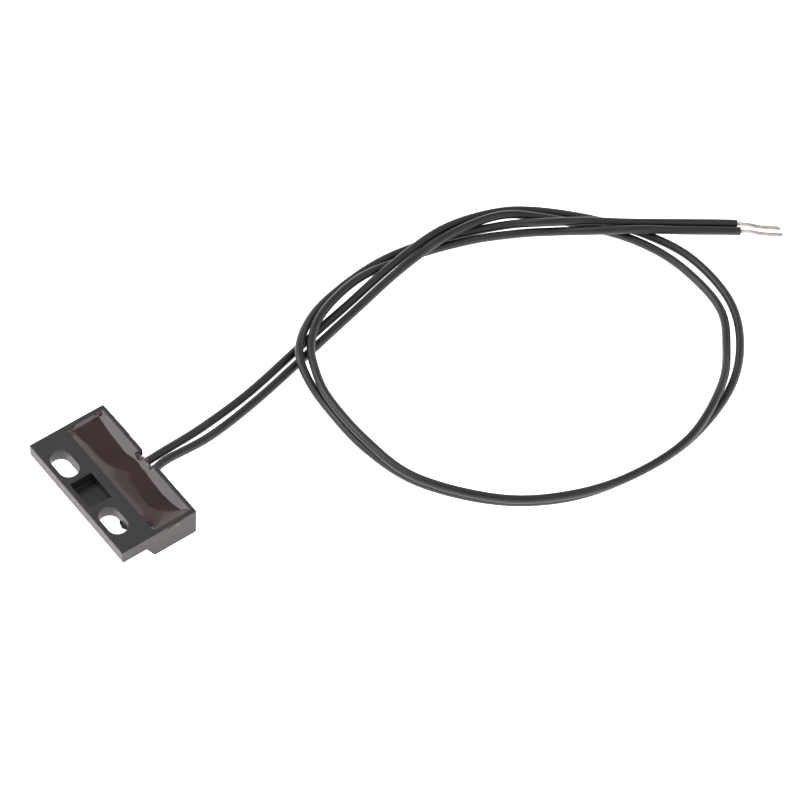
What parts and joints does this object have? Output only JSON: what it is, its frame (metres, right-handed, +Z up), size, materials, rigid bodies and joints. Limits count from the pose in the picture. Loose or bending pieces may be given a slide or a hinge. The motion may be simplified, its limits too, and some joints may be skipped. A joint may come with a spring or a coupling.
{
  "type": "door contact sensor",
  "caption": "Flange-mount door contact sensor: a potted reed switch in a slotted plastic housing, with two flying leads.",
  "frame": {"origin": "centre of the housing's underside, on the surface that the deep box stands on", "axes": "+X along the housing's length, +Y from the slotted flange towards the leads, +Z up, towards the open potted face"},
  "size_m": [0.0585, 0.1209, 0.0049],
  "materials": {
    "housing_plastic": "satin moulded black",
    "potting_resin": "glossy dark brown cast resin",
    "reed_glass": "green tinted glass",
    "reed_alloy": "nickel-iron, tinned outside the seal",
    "contact_plating": "bright plated contact face",
    "solder": "satin solder",
    "tinned_copper": "tinned copper strands",
    "wire_insulation": "satin black flexible insulation"
  },
  "bodies": {
    "sensor": {"housing": "housing_plastic", "potting_resin": "potting_resin", "reed_glass": "reed_glass", "left_reed_lead": "reed_alloy", "right_reed_lead": "reed_alloy", "left_solder_joint": "solder", "right_solder_joint": "solder", "left_inner_strands": "tinned_copper", "right_inner_strands": "tinned_copper", "left_potted_wire": "wire_insulation", "right_potted_wire": "wire_insulation", "left_wire": "wire_insulation", "right_wire": "wire_insulation", "left_tinned_end": "tinned_copper", "right_tinned_end": "tinned_copper"},
    "left_reed": {"left_reed_blade": "reed_alloy", "left_contact_plating": "contact_plating"},
    "right_reed": {"right_reed_blade": "reed_alloy", "right_contact_plating": "contact_plating"}
  },
  "joints": [
    {"name": "left_reed_flex", "type": "hinge", "parent": "sensor", "child": "left_reed", "pos_m": [-0.0046, 0.0014, 0.0027], "axis": [0, -1, 0], "range_deg": [0, 0.7], "stiffness_Nm_per_rad": 0.0005},
    {"name": "right_reed_flex", "type": "hinge", "parent": "sensor", "child": "right_reed", "pos_m": [0.0046, 0.0014, 0.0027], "axis": [0, -1, 0], "range_deg": [0, 0.7], "stiffness_Nm_per_rad": 0.0005}
  ],
  "couplings": [
    {"joint": "right_reed_flex", "follows": "left_reed_flex", "ratio": 1}
  ]
}
